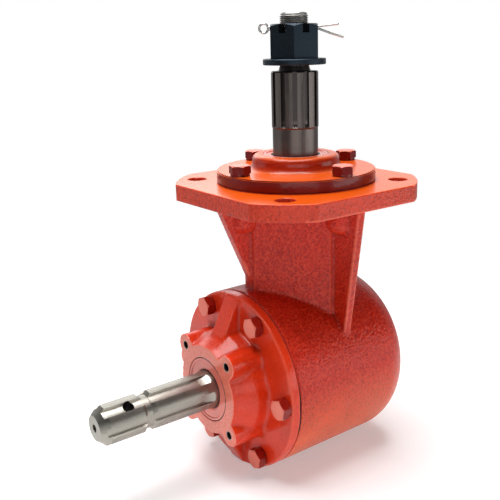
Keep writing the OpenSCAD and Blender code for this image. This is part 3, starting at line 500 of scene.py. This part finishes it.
# The gasket's edge is sprayed red, but on one stretch of the joint on the right it turns near black as
# painted shade.
gasket_paper, add = new_material("gasket_paper")
place = add("ShaderNodeTexCoord").outputs["Object"]
fibre = add("ShaderNodeTexNoise", Vector=place, Scale=900.0, Detail=2.0).outputs["Fac"]
paper_in_shade = mixed(add, fibre, JOINT_SHADE_DARK, JOINT_SHADE_PALE)
sprayed = mixed(add, fibre, SPRAY_DARK, SPRAY_PALE)
off_middle = figure(add, "ABSOLUTE", figure(add, "SUBTRACT", coordinate(add, place, 2), JOINT_SHADE_MIDDLE_Z))
on_right = figure(add, "GREATER_THAN", coordinate(add, place, 0), JOINT_SHADE_SIDE_X)
joint_shade = figure(add, "MULTIPLY", on_right,
                ramp(add, off_middle, JOINT_SHADE_REACH + JOINT_SHADE_FADE, JOINT_SHADE_REACH))
finish_material(add, add("ShaderNodeBsdfPrincipled", Roughness=0.8,
                         Base_Color=mixed(add, joint_shade, sprayed, paper_in_shade)))
paint_nodes(gasket_paper, "input_cap_gasket")

# Oil seals
# Steel rings with a rubber lip, pressed flush into the caps. The red spray has covered the
# rings, and the lips stay dark where they touch the shafts.
# The spray's red on the seal rings, made pale and pink as a painted sheen.
SEAL_SHEEN_RED = (0.90, 0.20, 0.15, 1)


def from_axis(add, first, second):
    """Distance from an axis, by the two coordinates across it."""
    point = add("ShaderNodeCombineXYZ", i0=first, i1=second, i2=0.0)
    return add("ShaderNodeVectorMath", {"operation": "LENGTH"}, i0=point.outputs[0]).outputs["Value"]


def painted_seal(name, shaft, lip_radius, rim_radius):
    """Red between the lip and the rim, and dark rubber or a dark joint past them. shaft is input
    or output."""
    material, add = new_material(name)
    place = add("ShaderNodeTexCoord").outputs["Object"]
    across = coordinate(add, place, 1)
    if shaft == "input":
        across = figure(add, "SUBTRACT", coordinate(add, place, 2), BARREL_AXIS_Z)
    radius = from_axis(add, coordinate(add, place, 0), across)
    painted = figure(add, "MULTIPLY", ramp(add, radius, lip_radius - 0.0003, lip_radius + 0.0003),
                     ramp(add, radius, rim_radius + 0.0001, rim_radius - 0.0001))
    grain = add("ShaderNodeTexNoise", Vector=place, Scale=700.0, Detail=2.0)
    bump = add("ShaderNodeBump", Strength=0.4, Distance=0.00008, Height=grain.outputs["Fac"])
    shade = mixed(add, painted, HOLE_SHADE_AND_RUBBER_BLACK, SEAL_SHEEN_RED)
    shine = ramp(add, painted, 0, 1, 0.55, 0.2)
    finish_material(add, add("ShaderNodeBsdfPrincipled", Base_Color=shade, Roughness=shine,
                             Normal=bump.outputs[0]))
    return material


input_seal_ring = painted_seal("input_seal_ring", "input", lip_radius=0.0184, rim_radius=0.0290)
output_seal_ring = painted_seal("output_seal_ring", "output", lip_radius=0.0226, rim_radius=0.0298)
paint_nodes(input_seal_ring, "input_seal")
paint_nodes(output_seal_ring, "output_seal")

# Output cap
# A turned iron cap over the upper bearing, with a raised boss round the shaft. Four bolts
# with split washers hold it, painted in place.
BOSS_FOOT_Z = 0.0135
PLATE_TOP_Z = 0.0130
# Lit and shaded copies of one paint: the boss is painted lighter, as lit from the bright cap top, and the
# plate below it darker, as painted shade.
BOSS_LIT_RED = (0.78, 0.040, 0.004, 1)
PLATE_SHADE_RED = (0.34, 0.003, 0.001, 1)
# Painted shade: the cover's bolts are a darker copy of the bolt paint, so their sides stay dark.
COVER_BOLT_SHADE_RED = (0.36, 0.005, 0.002, 1)

cover_enamel = enamel("cover_enamel", BOSS_LIT_RED, grain=0.00014, gloss=0.35, coat=0.45,
                      tints=[(below_height(BOSS_FOOT_Z, PLATE_TOP_Z), PLATE_SHADE_RED)],
                      patches=[(facing_up, TOP_LIT_ORANGE)])
cover_bolt_enamel = enamel("cover_bolt_enamel", COVER_BOLT_SHADE_RED, grain=0.00012, gloss=0.35, coat=0.30,
                           patches=[(facing_up, SHEEN_PINK)])
paint_nodes(cover_enamel, "output_cap")
paint_nodes(cover_bolt_enamel, "output_cap_bolts", "output_cap_lock_washers")
paint_nodes(gasket_paper, "output_cap_gasket")

# Output shaft
# Oiled dark steel, milled with twelve shallow splines. The threaded end above the nut is
# bare and lighter.
THREAD_START_Z = 0.112
GROOVE_FLOOR_R = 0.01945
SPLINE_TOP_R = 0.02115
SPLINE_LOW_Z = 0.052
SPLINE_HIGH_Z = 0.0975
DARK_STEEL = (0.135, 0.118, 0.110)
THREAD_STEEL = (0.30, 0.29, 0.275, 1)
SPLINE_GROOVE_SHADE = (0.030, 0.026, 0.026, 1)

output_steel, add = new_material("output_steel")
place = add("ShaderNodeTexCoord").outputs["Object"]
along = add("ShaderNodeMapping", Vector=place, Scale=(1, 1, 0.04))
streaks = add("ShaderNodeTexNoise", Vector=along.outputs[0], Scale=900.0, Detail=4.0).outputs["Fac"]
stain = add("ShaderNodeTexNoise", Vector=place, Scale=60.0, Detail=3.0).outputs["Fac"]
both = figure(add, "MULTIPLY_ADD", stain, 0.7, streaks)
tone = mixed(add, ramp(add, both, 0.6, 1.1), tuple(c * 0.72 for c in DARK_STEEL) + (1,),
             tuple(c * 1.2 for c in DARK_STEEL) + (1,))
height = coordinate(add, place, 2)
radius = from_axis(add, coordinate(add, place, 0), coordinate(add, place, 1))
in_groove = ramp(add, radius, SPLINE_TOP_R - 0.0004, GROOVE_FLOOR_R, 0.0, 0.75)
from_run_out = ramp(add, height, SPLINE_LOW_Z, SPLINE_LOW_Z + 0.004)
to_end = ramp(add, height, SPLINE_HIGH_Z + 0.001, SPLINE_HIGH_Z)
on_splines = figure(add, "MULTIPLY", from_run_out, to_end)
# Painted shade: the spline grooves are darkened between the run-out and the end of the splines.
tone = mixed(add, figure(add, "MULTIPLY", in_groove, on_splines), tone, SPLINE_GROOVE_SHADE)
tone = mixed(add, ramp(add, height, THREAD_START_Z, THREAD_START_Z + 0.001), tone, THREAD_STEEL)
bump = add("ShaderNodeBump", Strength=0.5, Distance=0.00004, Height=streaks)
shine = ramp(add, both, 0.5, 1.2, 0.30, 0.44)
finish_material(add, add("ShaderNodeBsdfPrincipled", Base_Color=tone, Metallic=1.0, Roughness=shine,
                         Normal=bump.outputs[0]))
paint_nodes(output_steel, "output_shaft")

# Nut, washer and cotter pin
# A slotted nut and a thick washer, both with a blue-black oxide skin, locked by a bent zinc
# cotter pin.
oxide = steel("oxide", (0.030, 0.042, 0.055), roughness=0.38, marks=700.0, depth=0.00010)
zinc = steel("zinc", (0.62, 0.62, 0.60), roughness=0.18, marks=1200.0)
paint_nodes(oxide, "flat_washer", "slotted_nut")
paint_nodes(zinc, "cotter_pin")

# Plugs
# A pressed plug closes the bore behind the rear bearing and is sprayed with the housing. The
# level plug and the filler plug are oxide-black, with a hexagon and a socket.
paint_nodes(cast_enamel, "rear_bore_plug")
paint_nodes(oxide, "level_plug", "fill_plug")

# Floor
# A white sweep under the barrel. It shows white to the camera and keeps the soft shadow and
# the red light that the barrel throws on it.
FLOOR_GAP = 0.0002
FLOOR_SIZE = 12
SHADOW_REACH = 0.28
WHITE_REACH = 0.75
FLOOR_WHITE = (0.86, 0.86, 0.86, 1)
FLOOR_GLOW = 0.32
WHITE = (1, 1, 1, 1)

bpy.ops.mesh.primitive_plane_add(size=FLOOR_SIZE, location=(0, 0, cad_box[0][2] - FLOOR_GAP))
floor = bpy.context.object
floor.name = "floor"
floor_white, add = new_material("floor_white")
place = add("ShaderNodeTexCoord").outputs["Object"]
distance = add("ShaderNodeVectorMath", {"operation": "LENGTH"}, i0=place).outputs["Value"]
sheet = add("ShaderNodeBsdfDiffuse", Color=FLOOR_WHITE).outputs[0]
glow = add("ShaderNodeEmission", Color=WHITE, Strength=FLOOR_GLOW).outputs[0]
lit = add("ShaderNodeAddShader", i0=sheet, i1=glow).outputs[0]
seen = add("ShaderNodeLightPath").outputs
sweep = ramp(add, seen["Is Camera Ray"], 0.0, 1.0, FLOOR_GLOW, 1.0)
white = add("ShaderNodeEmission", Color=WHITE, Strength=sweep).outputs[0]
far = ramp(add, distance, SHADOW_REACH, WHITE_REACH)
shown = add("ShaderNodeMixShader", i0=far, i1=lit, i2=white).outputs[0]
in_view = figure(add, "MAXIMUM", seen["Is Camera Ray"], seen["Is Glossy Ray"])
finish_material(add, add("ShaderNodeMixShader", i0=in_view, i1=sheet, i2=shown))
paint(floor, floor_white)

# Light
# A white sweep stands behind the object, and the room on the camera's side is dark. Soft boxes
# hang over it and behind it, and weak ones fill the front.
BACKDROP = Vector((-0.79, 0.58, 0.18)).normalized()
BACKDROP_EDGE = 0.45
BACKDROP_MIDDLE = 0.90
ROOM_LIGHT = 0.05
ROOM_MIRRORED = 0.03
MIDDLE = (0, 0, -0.1)

world = bpy.data.worlds.new("studio")
bpy.context.scene.world = world
world.use_nodes = True
add = node_adder(world.node_tree)
way = add("ShaderNodeTexCoord").outputs["Generated"]
toward = add("ShaderNodeVectorMath", {"operation": "DOT_PRODUCT"}, i0=way, i1=BACKDROP).outputs["Value"]
mirrored = ramp(add, toward, BACKDROP_EDGE, BACKDROP_MIDDLE, ROOM_MIRRORED, 1.0)
ray = add("ShaderNodeLightPath").outputs
room = ramp(add, ray["Is Glossy Ray"], 0.0, 1.0, ROOM_LIGHT, mirrored)
brightness = ramp(add, ray["Is Camera Ray"], 0.0, 1.0, room, 1.0)
sky = add("ShaderNodeBackground", Color=WHITE, Strength=brightness)
add("ShaderNodeOutputWorld", Surface=sky.outputs[0])


def soft_box(name, place, size, power):
    """A rectangular lamp that faces the middle of the object."""
    data = bpy.data.lights.new(name, "AREA")
    data.shape = "RECTANGLE"
    data.size = size[0]
    data.size_y = size[1]
    data.energy = power
    lamp = bpy.data.objects.new(name, data)
    lamp.location = place
    lamp.rotation_euler = (Vector(MIDDLE) - Vector(place)).to_track_quat("-Z", "Y").to_euler()
    lamp.visible_camera = False
    bpy.context.collection.objects.link(lamp)


soft_box("back", (-1.9, 0.65, 0.85), size=(1.3, 0.9), power=6)
soft_box("top", (-0.1, -0.1, 1.3), size=(1.1, 1.1), power=33)
soft_box("left", (-1.2, -1.3, 0.10), size=(1.3, 1.1), power=3.0)
soft_box("low right", (1.0, 0.75, -0.06), size=(1.2, 0.4), power=3.5)
soft_box("low front", (1.0, -0.7, -0.06), size=(1.2, 0.4), power=2.6)

bpy.context.scene.view_settings.view_transform = "Standard"
